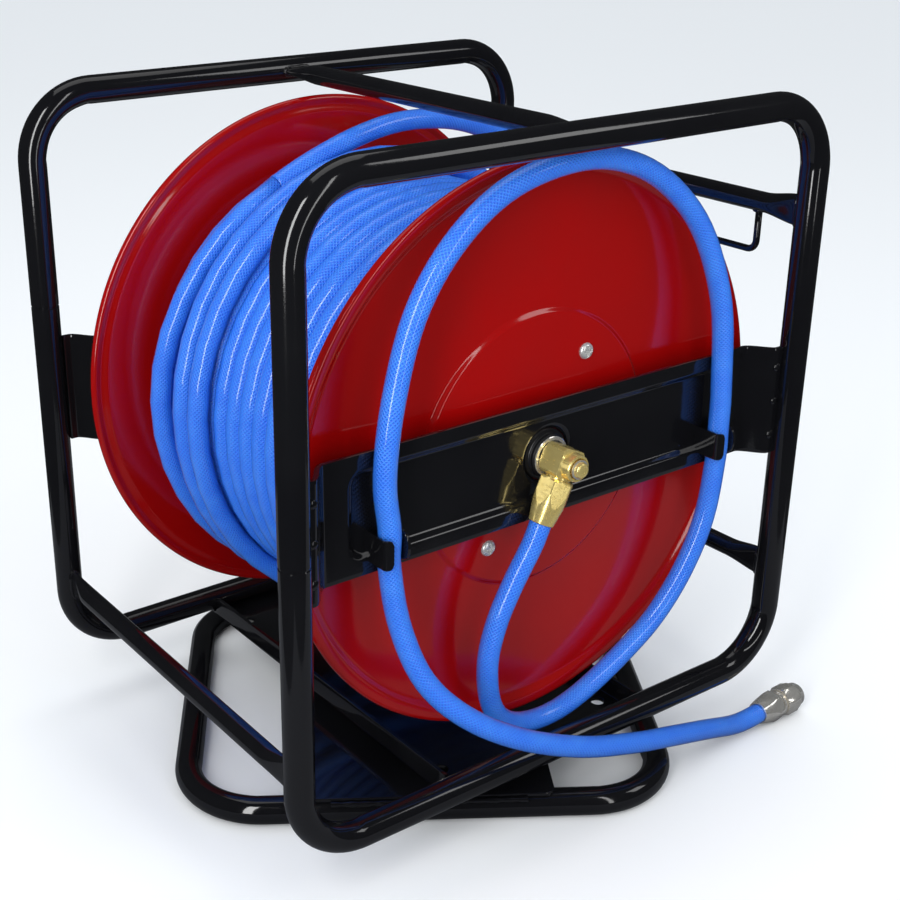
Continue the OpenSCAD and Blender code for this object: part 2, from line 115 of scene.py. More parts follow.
def ring_mesh(name, rings, around=False, crisp=32):
    """A closed mesh through rings of equal length: capped at both ends, or joined into a ring."""
    sides = len(rings[0])
    faces = []
    for i in range(len(rings) if around else len(rings) - 1):
        j = (i + 1) % len(rings)
        for k in range(sides):
            n = (k + 1) % sides
            faces.append((i * sides + k, i * sides + n, j * sides + n, j * sides + k))
    if not around:
        faces.append(tuple(reversed(range(sides))))
        faces.append(tuple((len(rings) - 1) * sides + k for k in range(sides)))
    return mesh_piece(name, [p for ring in rings for p in ring], faces, crisp)


def cross_axes(way):
    """Two directions across a third one."""
    way = way.normalized()
    helper = SIDEWAYS if abs(way.x) < 0.9 else UP
    first = (helper - way * way.dot(helper)).normalized()
    return way, first, way.cross(first)


def dome_faces(first, rings, sides):
    """Faces through rings + 1 rings of points numbered from first, capped at both ends."""
    faces = [(first + i * sides + k, first + i * sides + (k + 1) % sides,
              first + (i + 1) * sides + (k + 1) % sides, first + (i + 1) * sides + k)
             for i in range(rings) for k in range(sides)]
    faces.append(tuple(first + k for k in range(sides)))
    faces.append(tuple(first + rings * sides + k for k in range(sides)))
    return faces


def turned(name, outline, start, way, sides=96, crisp=32):
    """A closed outline of (radius, distance) points, turned about a line from start."""
    way, first, second = cross_axes(Vector(way))
    rings = []
    for k in range(sides):
        u, v = on_circle(360 * k / sides)
        across = u * first + v * second
        rings.append([Vector(start) + way * distance + across * radius
                      for radius, distance in outline])
    return ring_mesh(name, rings, around=True, crisp=crisp)


def turned_bar(name, stations, start, way, flat=None, corners=6, sides=96, turn=0.0, crisp=32):
    """A turned bar through (distance, radius) stations. With flat it is a hexagon bar, or one of
    other corners: each cross-section is the smaller of the polygon and the circle, so chamfers
    cut the flats in the usual curves."""
    way, first, second = cross_axes(Vector(way))
    rings = []
    for distance, radius in stations:
        ring = []
        for k in range(sides):
            angle = 360 * k / sides
            reach = radius
            if flat is not None:
                lean = (angle + turn + 180 / corners) % (360 / corners) - 180 / corners
                reach = min(radius, flat / 2 / math.cos(math.radians(lean)))
            u, v = on_circle(angle, reach)
            ring.append(Vector(start) + way * distance + u * first + v * second)
        rings.append(ring)
    return ring_mesh(name, rings, crisp=crisp)


def rounded_path(points, radius, steps=6):
    """A line through points with its corners rounded to arcs."""
    p = [Vector(q) for q in points]
    out = [p[0]]
    for before, corner, after in zip(p, p[1:], p[2:]):
        back, ahead = (before - corner).normalized(), (after - corner).normalized()
        half = back.angle(ahead) / 2
        middle = corner + (back + ahead).normalized() * radius / math.sin(half)
        first = corner + back * radius / math.tan(half) - middle
        last = corner + ahead * radius / math.tan(half) - middle
        swept = math.pi - 2 * half
        for k in range(steps + 1):
            t = k / steps
            out.append(middle + (math.sin((1 - t) * swept) * first + math.sin(t * swept) * last)
                       / math.sin(swept))
    return out + [p[-1]]


def smooth_route(points, steps):
    """Points along one smooth curve through the route, steps in each gap."""
    p = [Vector(q) for q in points]
    out = []
    for i in range(len(p) - 1):
        a, b = p[max(i - 1, 0)], p[i]
        c, d = p[i + 1], p[min(i + 2, len(p) - 1)]
        for k in range(steps):
            t = k / steps
            out.append(b + (c - a) * (t / 2) + (2 * a - 5 * b + 4 * c - d) * (t * t / 2)
                       + (3 * b - a - 3 * c + d) * (t ** 3 / 2))
    out.append(p[-1])
    return out


def swept_tube(name, path, radius, sides=24):
    """A closed round tube along a path. Its corners carry hose_map: metres along, turns round."""
    count = len(path)
    verts, faces, along = [], [], [0.0]
    normal = None
    last = None
    for i in range(count):
        tangent = (path[min(i + 1, count - 1)] - path[max(i - 1, 0)]).normalized()
        if normal is None:
            normal = tangent.orthogonal().normalized()
        else:
            normal = last.rotation_difference(tangent) @ normal
            normal = (normal - tangent * normal.dot(tangent)).normalized()
            along.append(along[-1] + (path[i] - path[i - 1]).length * MM)
        last = tangent
        side = tangent.cross(normal)
        for k in range(sides):
            u, v = on_circle(360 * k / sides, radius)
            verts.append(path[i] + u * normal + v * side)
    for i in range(count - 1):
        for k in range(sides):
            n = (k + 1) % sides
            faces.append((i * sides + k, i * sides + n, (i + 1) * sides + n, (i + 1) * sides + k))
    first_cap = len(faces)
    faces.append(tuple(reversed(range(sides))))
    faces.append(tuple((count - 1) * sides + k for k in range(sides)))
    mesh = bpy.data.meshes.new(name)
    mesh.from_pydata([tuple(v * MM for v in p) for p in verts], [], faces)
    layer = mesh.attributes.new("hose_map", "FLOAT_VECTOR", "CORNER")
    for face in mesh.polygons:
        face.use_smooth = face.index < first_cap
        seam = face.index < first_cap and face.index % sides == sides - 1
        for loop in face.loop_indices:
            ring, k = divmod(mesh.loops[loop].vertex_index, sides)
            turn = 1.0 if seam and k == 0 else k / sides
            layer.data[loop].vector = (along[ring], turn, 0.0)
    mesh.update()
    return add_object(name, mesh)


def sheet_metal(name, us, vs, place, thickness, holes=(), edge=0.5):
    """A pressed sheet over a grid, thickened to one side. place(u, v) gives its outer face,
    holes are (u, v, radius) and the cut edges are rounded by edge."""
    work = bmesh.new()
    grid = [[work.verts.new(place(u, v)) for v in vs] for u in us]
    spot = {grid[i][j]: (u, v) for i, u in enumerate(us) for j, v in enumerate(vs)}
    faces = {}
    for i in range(len(us) - 1):
        for j in range(len(vs) - 1):
            face = work.faces.new((grid[i][j], grid[i + 1][j], grid[i + 1][j + 1], grid[i][j + 1]))
            faces[face] = ((us[i] + us[i + 1]) / 2, (vs[j] + vs[j + 1]) / 2)
    for cu, cv, radius in holes:
        gone = [f for f, (u, v) in faces.items()
                if f.is_valid and math.hypot(u - cu, v - cv) < radius]
        rim = {v for f in gone for v in f.verts}
        bmesh.ops.delete(work, geom=gone, context="FACES")
        for vert in rim:
            if vert.is_valid:
                u, v = spot[vert]
                away = math.hypot(u - cu, v - cv)
                vert.co = place(cu + (u - cu) * radius / away, cv + (v - cv) * radius / away)
    work.normal_update()
    outer = list(work.verts)
    normal_of = {v: v.normal.copy() for v in outer}
    outer_faces = list(work.faces)
    rim_edges = [e for e in work.edges if e.is_boundary]
    inner = {v: work.verts.new(v.co - normal_of[v] * thickness) for v in outer}
    for face in outer_faces:
        work.faces.new([inner[v] for v in reversed(face.verts)])
    for e in rim_edges:
        a, b = e.verts
        work.faces.new((a, b, inner[b], inner[a]))
    bmesh.ops.recalc_face_normals(work, faces=work.faces)
    sharp = [e for e in work.edges if e.is_manifold and e.calc_face_angle(0) > math.radians(50)]
    bmesh.ops.bevel(work, geom=sharp, offset=edge, segments=2, profile=0.5, affect="EDGES",
                    clamp_overlap=True)
    bmesh.ops.scale(work, vec=(MM, MM, MM), verts=work.verts)
    bmesh.ops.recalc_face_normals(work, faces=work.faces)
    mark_crisp(work, 40)
    mesh = bpy.data.meshes.new(name)
    work.to_mesh(mesh)
    work.free()
    return add_object(name, mesh)


def slab(name, outline, low, high, place, bevel=0.6):
    """A flat plate with rounded edges: a 2-D outline between two heights."""
    count = len(outline)
    pulled = []
    for i, (u, v) in enumerate(outline):
        ahead = Vector(outline[(i + 1) % count]) - Vector(outline[i - 1])
        inward = Vector((-ahead.y, ahead.x)).normalized()
        pulled.append(inward)
    rings = []
    for pull, height in ((bevel, low), (bevel * 0.3, low + bevel * 0.3), (0, low + bevel),
                         (0, high - bevel), (bevel * 0.3, high - bevel * 0.3), (bevel, high)):
        rings.append([place(u + inward.x * pull, v + inward.y * pull, height)
                      for (u, v), inward in zip(outline, pulled)])
    return ring_mesh(name, rings, crisp=50)


def rounded_rectangle(width, height, radius, steps=8):
    """Anticlockwise outline points."""
    points = []
    for turn, (sx, sy) in zip((0, 90, 180, 270), ((1, 1), (-1, 1), (-1, -1), (1, -1))):
        for k in range(steps + 1):
            u, v = on_circle(turn + 90 * k / steps, radius)
            points.append((sx * (width / 2 - radius) + u, sy * (height / 2 - radius) + v))
    return points


def weld_bead(name, path, size, around=True):
    """A lumpy bead of weld along a path."""
    rings = []
    count, sides = len(path), 10
    for i, p in enumerate(path):
        after = path[(i + 1) % count] if around else path[min(i + 1, count - 1)]
        before = path[i - 1] if around else path[max(i - 1, 0)]
        way, first, second = cross_axes(after - before)
        lump = size * (1 + 0.16 * math.sin(i * 2.1) + 0.08 * math.sin(i * 5.3))
        ring = []
        for k in range(sides):
            u, v = on_circle(360 * k / sides, lump)
            ring.append(p + u * first + v * second)
        rings.append(ring)
    return ring_mesh(name, rings, around=around, crisp=60)


def finish_piece(piece, slot, body, *replaced):
    """Paints a piece, hangs it on the body it rides on and hides the CAD nodes it stands for."""
    piece.data.materials.append(materials[slot])
    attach(piece, body)
    if replaced:
        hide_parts(*replaced)
    return piece


# ---------- camera, light and floor ----------


def make_camera():
    data = bpy.data.cameras.new("camera")
    data.lens = 58.6
    data.shift_x = 0.0865
    data.shift_y = -0.0139
    camera = add_object("camera", data)
    eye = Vector((-0.494, -0.6411, 0.5177))
    target = Vector((-0.0276, 0.0076, 0.189))
    camera.location = eye
    camera.rotation_euler = (target - eye).to_track_quat("-Z", "Y").to_euler()
    scene.camera = camera


def area_light(name, place, target, size, power, color=(1, 1, 1)):
    data = bpy.data.lights.new(name, "AREA")
    data.shape = "RECTANGLE"
    data.size, data.size_y = size
    data.energy = power
    data.color = color
    light = add_object(name, data)
    light.location = place
    light.rotation_euler = (Vector(target) - Vector(place)).to_track_quat("-Z", "Y").to_euler()


def make_world(color, bright, mirrored):
    """A plain sky, dimmer where glossy surfaces mirror it, as in a dark studio."""
    world = bpy.data.worlds.new("studio")
    scene.world = world
    world.use_nodes = True
    tree = world.node_tree
    sky = tree.nodes["Background"]
    sky.inputs["Color"].default_value = (*color, 1)
    rays = tree.nodes.new("ShaderNodeLightPath")
    strength = tree.nodes.new("ShaderNodeMapRange")
    strength.inputs["To Min"].default_value = bright
    strength.inputs["To Max"].default_value = mirrored
    tree.links.new(rays.outputs["Is Glossy Ray"], strength.inputs["Value"])
    tree.links.new(strength.outputs["Result"], sky.inputs["Strength"])


def floor_sheet(name, half, height, shade):
    corners = [(-half, -half, height), (half, -half, height),
               (half, half, height), (-half, half, height)]
    sheet = mesh_piece(name, corners, [(0, 1, 2, 3)])
    paper = Shader(name + "_paper", shade, roughness=0.9)
    sheet.data.materials.append(paper.material)
    return sheet


def make_studio():
    """Soft lights over a white floor. The floor is for the camera only: mirrored and bounced
    light meets a smaller, darker sheet instead: painted shade in reflections and on undersides."""
    make_world(color=(0.91, 0.955, 1.0), bright=0.94, mirrored=0.03)
    area_light("key_strip", (-0.90, -0.62, 0.66), (0, 0, 0.30), (0.21, 1.25), 8)
    area_light("front_strip", (-0.05, -1.05, 0.62), (0, 0, 0.30), (0.10, 1.15), 1.6)
    area_light("top", (0.1, 0.35, 1.7), (0, 0, 0.2), (1.3, 0.9), 3)
    area_light("side_panel", (0.95, -1.05, 1.15), (0, 0, 0.2), (0.5, 0.5), 2)
    floor = floor_sheet("floor", 60000, 0.0, (0.95, 0.955, 0.96))
    floor.visible_glossy = False
    floor.visible_diffuse = False
    # A dark sheet hidden from the camera: painted shade in what glossy parts mirror below them and
    # in the bounced light under the object.
    near = floor_sheet("painted_shade_sheet", 398, -0.5, (0.22, 0.22, 0.23))
    near.visible_camera = False
    near.visible_shadow = False
    scene.view_settings.view_transform = "Standard"


# ---------- materials ----------


class Shader:
    """A Principled material and short ways to add procedural detail to it."""

    def __init__(self, name, color, roughness=0.4, metallic=0.0, **sockets):
        self.material = bpy.data.materials.new(name)
        self.material.use_nodes = True
        self.tree = self.material.node_tree
        self.bsdf = self.tree.nodes["Principled BSDF"]
        self.set("Base Color", (*color, 1))
        self.set("Roughness", roughness)
        self.set("Metallic", metallic)
        for key, value in sockets.items():
            self.set(key.replace("_", " "), value)
        self.color = color
        self.last_bump = None

    def set(self, socket, value):
        self.bsdf.inputs[socket].default_value = value

    def node(self, kind, **options):
        made = self.tree.nodes.new(kind)
        for key, value in options.items():
            setattr(made, key, value)
        return made

    def link(self, source, target):
        self.tree.links.new(source, target)

    def place(self, stretch=(1, 1, 1)):
        """Object coordinates in metres, stretched."""
        coords = self.node("ShaderNodeTexCoord")
        mapping = self.node("ShaderNodeMapping")
        mapping.inputs["Scale"].default_value = stretch
        self.link(coords.outputs["Object"], mapping.inputs["Vector"])
        return mapping.outputs["Vector"]

    def noise(self, scale, detail=3.0, rough=0.5, stretch=(1, 1, 1)):
        made = self.node("ShaderNodeTexNoise")
        made.inputs["Scale"].default_value = scale
        made.inputs["Detail"].default_value = detail
        made.inputs["Roughness"].default_value = rough
        self.link(self.place(stretch), made.inputs["Vector"])
        return made.outputs["Fac"]

    def spread(self, value, low, high, start=0.0, end=1.0):
        """Maps a value from start..end to low..high."""
        made = self.node("ShaderNodeMapRange")
        made.inputs["From Min"].default_value = start
        made.inputs["From Max"].default_value = end
        made.inputs["To Min"].default_value = low
        made.inputs["To Max"].default_value = high
        self.link(value, made.inputs["Value"])
        return made.outputs["Result"]

    def math(self, operation, a, b=None):
        made = self.node("ShaderNodeMath", operation=operation)
        for socket, value in zip(made.inputs, (a, b)):
            if isinstance(value, (int, float)):
                socket.default_value = value
            elif value is not None:
                self.link(value, socket)
        return made.outputs["Value"]

    def mix(self, factor, first, second):
        """A colour between two colours or colour outputs."""
        made = self.node("ShaderNodeMix", data_type="RGBA")
        self.link(factor, made.inputs["Factor"])
        for socket, value in ((made.inputs[6], first), (made.inputs[7], second)):
            if isinstance(value, tuple):
                socket.default_value = (*value, 1)
            else:
                self.link(value, socket)
        return made.outputs[2]

    def rough(self, value):
        self.link(value, self.bsdf.inputs["Roughness"])

    def paint(self, value):
        self.link(value, self.bsdf.inputs["Base Color"])

    def bump(self, height, depth, strength=1.0):
        """Adds a bump of the given depth in metres, on top of the bumps before it."""
        made = self.node("ShaderNodeBump")
        made.inputs["Strength"].default_value = strength
        made.inputs["Distance"].default_value = depth
        self.link(height, made.inputs["Height"])
        if self.last_bump is not None:
            self.link(self.last_bump, made.inputs["Normal"])
        self.last_bump = made.outputs["Normal"]
        self.link(self.last_bump, self.bsdf.inputs["Normal"])


def enamel(name, color, worn, low, high):
    """Gloss enamel: orange peel, faint cloudiness and small scuffs."""
    s = Shader(name, color, roughness=low, Coat_Weight=0.35, Coat_Roughness=0.05)
    cloud = s.noise(18, detail=4)
    scuff = s.noise(260, detail=5, rough=0.65, stretch=(1, 1, 0.35))
    s.paint(s.mix(s.spread(cloud, 0.0, 0.35, 0.35, 0.75), color, worn))
    s.rough(s.math("ADD", s.spread(cloud, low, high, 0.3, 0.7),
                   s.spread(scuff, 0, 0.12, 0.62, 0.8)))
    s.bump(s.noise(420, detail=2), 0.00005, 0.35)
    return s.material


def machined(name, color, dull, low, high, grain=0.00004, metallic=0.72):
    """Bare or plated metal: fine grain, tarnish patches and short tool marks."""
    s = Shader(name, color, roughness=low, metallic=metallic)
    patch = s.noise(160, detail=5, rough=0.6)
    marks = s.noise(900, detail=3, stretch=(1, 0.12, 1))
    s.paint(s.mix(s.spread(patch, 0, 0.75, 0.42, 0.72), color, dull))
    s.rough(s.math("ADD", s.spread(patch, low, high, 0.3, 0.7), s.spread(marks, 0, 0.1, 0.4, 0.7)))
    s.bump(s.noise(2600, detail=3), grain, 0.5)
    s.bump(marks, grain / 2, 0.4)
    return s.material


def moulded(name, color, roughness):
    """Moulded plastic or rubber with a fine matt grain."""
    s = Shader(name, color, roughness=roughness)
    grain = s.noise(1500, detail=3)
    s.paint(s.mix(s.spread(s.noise(60), 0, 0.5, 0.35, 0.7), color, tuple(c * 1.6 for c in color)))
    s.rough(s.spread(grain, roughness - 0.08, roughness + 0.1, 0.3, 0.7))
    s.bump(grain, 0.00006, 0.5)
    return s.material


def braided(name):
    """Clear-skinned blue hose: two crossing spirals of fine braid just under the skin."""
    deep, pale = (0.010, 0.12, 0.80), (0.08, 0.38, 1.0)
    s = Shader(name, deep, roughness=0.3, Coat_Weight=1.0, Coat_Roughness=0.13)
    read = s.node("ShaderNodeAttribute", attribute_name="hose_map")
    split = s.node("ShaderNodeSeparateXYZ")
    s.link(read.outputs["Vector"], split.inputs["Vector"])
    strands, per_metre = 16, 440
    turn = s.math("MULTIPLY", split.outputs["Y"], 2 * math.pi * strands)
    run = s.math("MULTIPLY", split.outputs["X"], 2 * math.pi * per_metre)
    left = s.math("SINE", s.math("ADD", turn, run))
    right = s.math("SINE", s.math("SUBTRACT", turn, run))
    weave = s.math("MAXIMUM", left, right)
    cloud = s.noise(90, detail=4)
    tone = s.math("ADD", s.spread(weave, 0, 0.45, -0.2, 1), s.spread(cloud, -0.06, 0.12, 0.3, 0.7))
    s.paint(s.mix(tone, deep, pale))
    s.rough(s.spread(weave, 0.42, 0.24, -0.2, 1))
    s.bump(weave, 0.00022, 0.9)
    return s.material


def make_materials():
    return {
        "frame_paint": enamel("frame_paint", (0.004, 0.004, 0.005), (0.009, 0.009, 0.01),
                              0.06, 0.12),
        "flange_paint": enamel("flange_paint", (0.31, 0.002, 0.002), (0.23, 0.0015, 0.0015),
                               0.09, 0.15),
        "core_paint": enamel("core_paint", (0.3, 0.006, 0.008), (0.2, 0.004, 0.005), 0.3, 0.45),
        "brass": machined("brass", (1.0, 0.80, 0.30), (0.88, 0.66, 0.20), 0.14, 0.24, 0.00001),
        "zinc": machined("zinc", (0.9, 0.9, 0.88), (0.7, 0.7, 0.69), 0.16, 0.3),
        "nickel": machined("nickel", (0.97, 0.94, 0.87), (0.8, 0.76, 0.7), 0.07, 0.15, 0.00001,
                           metallic=0.82),
        "steel": machined("steel", (0.6, 0.6, 0.61), (0.42, 0.42, 0.43), 0.26, 0.42),
        "hose": braided("hose"),
        "nylon_black": moulded("nylon_black", (0.005, 0.005, 0.006), 0.38),
        "nylon_white": moulded("nylon_white", (0.5, 0.5, 0.47), 0.5),
    }


# ---------- hoses ----------

LEADER_ROUTE = [
    (-14.4, -126.5, 182.2), (-20, -126.5, 170.2), (-31, -125.5, 151), (-40, -124, 130),
    (-44, -122, 106), (-41, -121, 81), (-31, -119.5, 64), (-14, -118.5, 54), (8, -118.5, 52),
    (31, -119, 58), (58, -120, 72), (84, -121.5, 91), (104, -123, 117), (117, -124.2, 148),
    (122, -124.4, 184), (122, -124.4, 204), (121, -124.4, 230), (116, -123, 279),
    (97, -121, 323), (66, -120, 353), (31, -119.5, 368), (-4, -119.5, 370), (-42, -120, 361),
    (-74, -121.5, 340), (-97, -123, 310), (-110, -124, 270), (-115, -124.4, 232),
    (-112, -124.4, 204), (-112, -124.4, 184), (-107, -127, 150), (-97, -135, 119),
    (-78, -146, 96), (-48, -155, 76), (-8, -160, 58), (34, -160, 44), (70, -157, 33),
    (104, -153, 22), (130, -149, 12.5), (144, -148, 10), (158, -147.5, 10)]

OUTLET_ROUTE = [
    (-58.6, 57, 334.2), (-42, 57, 342), (-22, 57.5, 349.5), (0, 58, 356), (24, 59, 360),
    (50, 60, 360), (78, 61, 355.5), (106, 61.5, 345), (131, 61, 330), (151, 60.5, 316.5),
    (172, 60, 306.5), (193, 60, 300.5)]


def winding_path(steps):
    """The whole wound hose: three neat layers, then one crossing turn and the loose top turns."""
    first_r, layer_step, pitch, rise_turns = 99.2, 11.1, 13.4, 0.4
    start_angle, top_angle, leave_angle = 90, 60, 115.8
    layers = ((12, 1), (13, -1), (14, 1))
    left = sum(turns for turns, way in layers)
    points = []
    for layer, (turns, way) in enumerate(layers):
        edge = turns / 2 * pitch
        for k in range(turns * steps):
            t = k / (turns * steps)
            lead_in = (start_angle - top_angle) * (1 - t) if layer == 0 else 0
            below = 1 - ease(t * turns / rise_turns) if layer else 0
            points.append((top_angle + lead_in + 360 * (left - t * turns),
                           way * (edge * (1 - 2 * t) - pitch / 2 * below),
                           first_r + layer_step * (layer - below)))
        left -= turns
    top_r = first_r + (len(layers) - 1) * layer_step
    raised, spare, leave_from, leave_lift = 11.4, 0.9, 955, 1.8
    # moves along the drum: how far in mm, from which angle, over how many degrees
    drifts = ((edge + 27, 0, 210), (16.6, 380, 150), (2 * pitch, 775, 65))
    swept_end = top_angle - leave_angle + 3 * 360
    count = round(swept_end / 360 * steps)
    for k in range(count + 1):
        swept = swept_end * k / count
        leaving = ease((swept - leave_from) / (swept_end - leave_from))
        drift = sum(far * ease((swept - start) / over) for far, start, over in drifts)
        depth = drift - edge - pitch * leaving
        lift = (raised + spare) * ease(swept / 40) - spare * ease((swept - 150) / 60)
        lift += leave_lift * leaving
        points.append((top_angle - swept, depth, top_r + lift))
    return [Vector((*on_circle(a, r), y)).xzy + UP * AXIS_Z for a, y, r in points]


def make_hoses():
    wound_path = winding_path(40)
    leader_path = smooth_route(LEADER_ROUTE, 6)
    outlet_path = smooth_route(OUTLET_ROUTE, 6)
    wound = swept_tube("wound_hose_turns", wound_path, HOSE_R, sides=16)
    leader = swept_tube("leader_hose_run", leader_path, HOSE_R)
    outlet = swept_tube("outlet_hose_run", outlet_path, HOSE_R)
    finish_piece(wound, "hose", "drum", "wound_hose", "crossing_turn")
    finish_piece(leader, "hose", "frame", "leader_hose")
    finish_piece(outlet, "hose", "frame", "outlet_hose")
    make_coupling("leader", LEADER_ROUTE)
    make_coupling("outlet", OUTLET_ROUTE)


def make_coupling(name, route):
    """Hose nut and plug on a route's end, along its last stretch."""
    end = Vector(route[-1])
    way = end - Vector(route[-2])
    nut = turned_bar(name + "_nut_body", [(0.6, 6.15), (-0.4, 6.2), (-0.3, 6.9), (1.0, 7.2),
                                          (5.0, 8.1), (8.6, 9.1), (10.4, 9.7), (14.6, 9.75),
                                          (15.6, 9.0), (15.8, 8.2)], end, way, flat=17)
    plug = turned_bar(name + "_plug_body", [(15.6, 6.2), (17.0, 6.2), (17.1, 8.0), (18.0, 8.4),
                                            (18.9, 8.0), (19.0, 6.6), (20.2, 6.6), (20.4, 8.6),
                                            (21.6, 9.7), (30.6, 9.75), (32.2, 8.7), (33.0, 8.0),
                                            (36.6, 7.3), (37.5, 6.7), (37.7, 5.6), (37.5, 4.6),
                                            (30.0, 4.5)], end, way, flat=17, turn=20)
    return [finish_piece(nut, "nickel", "frame", name + "_nut"),
            finish_piece(plug, "nickel", "frame", name + "_plug")]


# ---------- drum ----------


def flange_outline():
    """Section of a pressed flange as (radius, distance from the drum's middle)."""
    face, step, thick = 101.5, 2.0, 1.5
    bead_r, bead_middle = 2.5, 157.5
    bore_r, step_r, step_width, rim_r, rim_width = 10.05, 74.5, 4, 149.5, 5.5
    inner = [(bore_r, face + step)]
    inner += [(step_r + step_width * t / 8, face + step * (1 - ease(t / 8))) for t in range(9)]
    inner += [(rim_r + rim_width * t / 6, face + 1.2 * ease(t / 6)) for t in range(7)]
    bead = []
    for angle in range(-100, 116, 18):
        u, v = on_circle(angle, bead_r)
        bead.append((bead_middle + u, face + bead_r + v))
    outer = [(154.6 - 6.2 * t / 6, face + 4.4 - 2.9 * ease(t / 6)) for t in range(7)]
    outer += [(79 - step_width * t / 8, face + thick + step * ease(t / 8)) for t in range(9)]
    outer += [(bore_r, face + step + thick)]
    return inner + bead + outer


def make_flanges():
    for side, name in ((-1, "front_flange"), (1, "back_flange")):
        piece = turned(name + "_pressing", flange_outline(), (0, 0, AXIS_Z), (0, side, 0),
                       sides=256, crisp=60)
        finish_piece(piece, "flange_paint", "drum", name)


def screw_head(middle, side, first):
    """Points and faces of a pan head with a cross recess, numbered from first."""
    head_h, head_r, head_turn, fullness = 2.4, 4.6, 20, 3.2
    recess_r, slot, recess_depth, recess_slope = 3.2, 0.8, 2.0, 0.4
    rings, sides = 18, 96
    verts = []
    for i in range(rings + 1):
        t = i / rings
        dome = head_h * (1 - (1 - t) ** fullness) ** 0.5
        for k in range(sides):
            u, v = on_circle(360 * k / sides + head_turn, head_r * (1 - t))
            arm = min(abs(u), abs(v)) < slot and math.hypot(u, v) < recess_r
            sunk = recess_depth - recess_slope * math.hypot(u, v) if arm else 0
            verts.append(middle + Vector((u, side * max(dome - sunk, 0.1), v)))
    return verts, dome_faces(first, rings, sides)


def make_screws():
    under_head, pitch_r = 105.0, 59
    for side, name in ((-1, "front_screws"), (1, "back_screws")):
        verts, faces = [], []
        for turn in (57, 237):
            u, v = on_circle(turn, pitch_r)
            points, more = screw_head(Vector((u, side * under_head, AXIS_Z + v)), side, len(verts))
            verts += points
            faces += more
        finish_piece(mesh_piece(name + "_heads", verts, faces, crisp=35), "zinc", "drum", name)


# ---------- air inlet ----------


def make_inlet():
    axis, front = (0, 0, AXIS_Z), (0, -1, 0)
    body = turned_bar("elbow_block", [(117.0, 8.2), (117.0, 8.9), (118.2, 10.1), (119.0, 10.4),
                                      (131.2, 10.4), (131.8, 10.1), (132.4, 7.7), (135.6, 7.5),
                                      (137.2, 7.3), (137.6, 7.0), (137.6, 6.1), (137.3, 5.8),
                                      (134.6, 5.7)], axis, front, flat=16.5, corners=4, sides=192,
                      turn=25, crisp=12)
    finish_piece(body, "brass", "frame", "elbow_body")
    ring = turned("elbow_washer", [(9.2, 115.8), (10.9, 115.8), (11.2, 116.0), (11.2, 116.5),
                                   (10.9, 116.7), (9.2, 116.7)], axis, front)
    finish_piece(ring, "nickel", "frame")
    seal = turned("elbow_seal", [(10.3, 113.65), (11.5, 113.65), (12.0, 114.1), (12.0, 115.2),
                                 (11.5, 115.7), (10.3, 115.7)], axis, front)
    finish_piece(seal, "nylon_black", "frame")
    middle = (0, ELBOW_Y, AXIS_Z)
    out, down = on_circle(-90 - ELBOW_LEAN)
    way = (out, 0, down)
    finish_piece(turned_bar("elbow_neck", [(7.5, 6.6), (14, 6.6)], middle, way), "brass", "frame")
    cone_from, cone_r, cone_step, taper = 17, 9.8, 0.6, 0.102
    cone = [(cone_from + cone_step * k, cone_r - taper * k) for k in range(29)]
    nut = turned_bar("elbow_hose_nut", [(9.2, 7.6), (9.2, 8.3), (10.2, 9.6), (10.6, cone_r)]
                     + cone + [(34.2, 6.7), (34.3, 6.2), (33.2, 6.1)],
                     middle, way, flat=17, sides=192, turn=8, crisp=20)
    finish_piece(nut, "brass", "frame", "elbow_nut")
    tip = turned_bar("spindle_tip", [(116.4, 5.5), (128.4, 5.5), (128.8, 4.4), (139.6, 4.4),
                                     (140.7, 4.1), (141.2, 3.6), (141.4, 2.8), (141.4, 0.6)],
                     axis, front)
    finish_piece(tip, "brass", "drum", "inlet_spindle")
    snap = turned("spindle_snap_ring", [(4.45, 138.2), (5.3, 138.2), (5.3, 138.9), (4.45, 138.9)],
                  axis, front, sides=64)
    finish_piece(snap, "steel", "drum", "spindle_ring")


# ---------- carry frame ----------


def loop_tube(name, width, height, corner_r, place, seam=None):
    """A bent tube loop. Each bend is a little flattened inside, as by a tube bender, and
    the seam is a fine groove round the left side."""
    stations = []
    bend_steps, sides = 18, 40
    squash, die_mark, die_width = 0.07, 0.05, 0.06
    for turn, (su, sv) in zip((0, 90, 180, 270), ((1, 1), (-1, 1), (-1, -1), (1, -1))):
        for k in range(bend_steps + 1):
            t = k / bend_steps
            nu, nv = on_circle(turn + 90 * t)
            bend_ends = sum(math.exp(-((t - at) / die_width) ** 2) for at in (0.06, 0.94))
            dent = squash * math.sin(math.pi * t) + die_mark * bend_ends
            middle = (su * (width / 2 - corner_r) + corner_r * nu,
                      sv * (height / 2 - corner_r) + corner_r * nv)
            stations.append((middle, (nu, nv), dent, 1.0))
        if turn == 90 and seam is not None:
            for offset, shrink in ((0.8, 1.0), (0.3, 0.94), (-0.3, 0.94), (-0.8, 1.0)):
                stations.append(((-width / 2, seam + offset), (-1, 0), 0.0, shrink))
    rings = []
    for (u, v), (nu, nv), dent, shrink in stations:
        ring = []
        for k in range(sides):
            out, up = on_circle(360 * k / sides, TUBE_R * shrink)
            if out < 0:
                out *= 1 - dent
            ring.append(place(u + out * nu, v + out * nv, up))
        rings.append(ring)
    return ring_mesh(name, rings, around=True)


def make_loops():
    corner_r = 38
    for y, name, seam in ((-LOOP_Y, "front_loop", -7.0), (LOOP_Y, "back_loop", 52.0)):
        piece = loop_tube(name + "_tube", 2 * LOOP_HALF, 2 * LOOP_HALF, corner_r,
                          lambda u, v, w, y=y: Vector((u, y + w, AXIS_Z + v)), seam)
        finish_piece(piece, "frame_paint", "frame", name)


